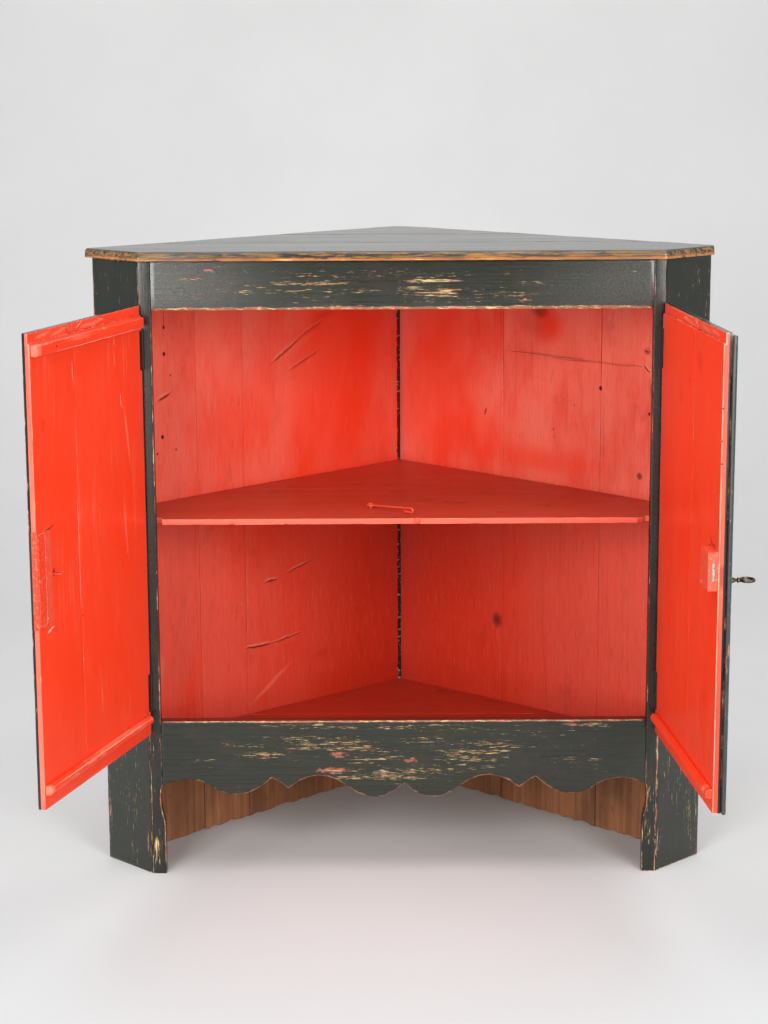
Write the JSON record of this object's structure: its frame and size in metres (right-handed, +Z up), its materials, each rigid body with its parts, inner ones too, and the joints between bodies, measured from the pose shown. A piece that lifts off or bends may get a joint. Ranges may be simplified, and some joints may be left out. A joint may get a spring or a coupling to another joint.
{
  "type": "corner cupboard",
  "caption": "Low pine corner cupboard with canted sides, one shelf, a scalloped apron and two plank doors on butt hinges, with a lock, key and inner hook.",
  "frame": {"origin": "on the floor at the back corner, in the middle of the lapped corner joint of the two back walls", "axes": "+X to the right seen from the front, -Y out of the front, +Z up; the back walls run at 45 degrees to X and Y"},
  "size_m": [1.0156, 0.9824, 1],
  "materials": {
    "green_paint": "worn dark green oil paint over pine",
    "top_paint": "worn dark green oil paint, rubbed to ochre at the edge",
    "red_paint": "vermilion oil paint over pine, satin; outer sides of the doors and backs are green or bare",
    "bare_wood": "unpainted aged pine",
    "painted_iron": "iron painted over with the red of the inside",
    "iron": "dark iron, partly painted over",
    "key_steel": "worn, browned steel"
  },
  "bodies": {
    "case": {"left_stile": "green_paint", "right_stile": "green_paint", "left_return_board": "green_paint", "right_return_board": "green_paint", "top_rail": "green_paint", "apron_rail": "green_paint", "left_back_corner_plank": "red_paint", "left_back_middle_plank": "red_paint", "left_back_side_plank": "red_paint", "right_back_corner_plank": "red_paint", "right_back_middle_plank": "red_paint", "right_back_side_plank": "red_paint", "top_front_plank": "top_paint", "top_middle_plank": "top_paint", "top_back_plank": "top_paint", "shelf_front_plank": "red_paint", "shelf_back_plank": "red_paint", "floor_front_plank": "red_paint", "floor_back_plank": "red_paint", "floor_front_cleat": "bare_wood", "left_floor_cleat": "bare_wood", "right_floor_cleat": "bare_wood", "left_lower_hinge_frame_leaf": "iron", "left_lower_hinge_pin": "iron", "left_upper_hinge_frame_leaf": "iron", "left_upper_hinge_pin": "iron", "right_lower_hinge_frame_leaf": "iron", "right_lower_hinge_pin": "iron", "right_upper_hinge_frame_leaf": "iron", "right_upper_hinge_pin": "iron", "hook_pin": "painted_iron"},
    "left_door": {"left_door_hinge_board": "red_paint", "left_door_meeting_board": "red_paint", "left_door_top_batten": "red_paint", "left_door_bottom_batten": "red_paint", "strike_plate": "painted_iron", "hook_staple": "painted_iron", "left_lower_hinge_door_leaf": "iron", "left_upper_hinge_door_leaf": "iron"},
    "right_door": {"right_door_hinge_board": "red_paint", "right_door_meeting_board": "red_paint", "right_door_bottom_batten": "red_paint", "astragal": "green_paint", "lock_case": "painted_iron", "escutcheon": "iron", "right_lower_hinge_door_leaf": "iron", "right_upper_hinge_door_leaf": "iron"},
    "key": {"key": "key_steel"},
    "lock_bolt": {"lock_bolt": "painted_iron"},
    "shelf_hook": {"shelf_hook": "painted_iron"}
  },
  "joints": [
    {"name": "left_door_hinge", "type": "hinge", "parent": "case", "child": "left_door", "pos_m": [-0.401, -0.55911, 0.5775], "axis": [0, 0, -1], "range_deg": [-107, 33]},
    {"name": "right_door_hinge", "type": "hinge", "parent": "case", "child": "right_door", "pos_m": [0.401, -0.55911, 0.5775], "axis": [0, 0, 1], "range_deg": [-94.7, 45.3]},
    {"name": "key_turn", "type": "hinge", "parent": "right_door", "child": "key", "pos_m": [0.43199, -0.93604, 0.568], "axis": [0.9966, 0.0819, 0], "range_deg": [0, 182]},
    {"name": "bolt_slide", "type": "slide", "parent": "right_door", "child": "lock_bolt", "axis": [0.0819, -0.9966, 0], "range_m": [0, 0.009]},
    {"name": "hook_swing", "type": "hinge", "parent": "case", "child": "shelf_hook", "pos_m": [-0.051, -0.45551, 0.585], "axis": [0, 0, 1], "range_deg": [-54, 134]}
  ],
  "couplings": [
    {"joint": "key_turn", "follows": "bolt_slide", "rad_per_m": 349.07}
  ]
}
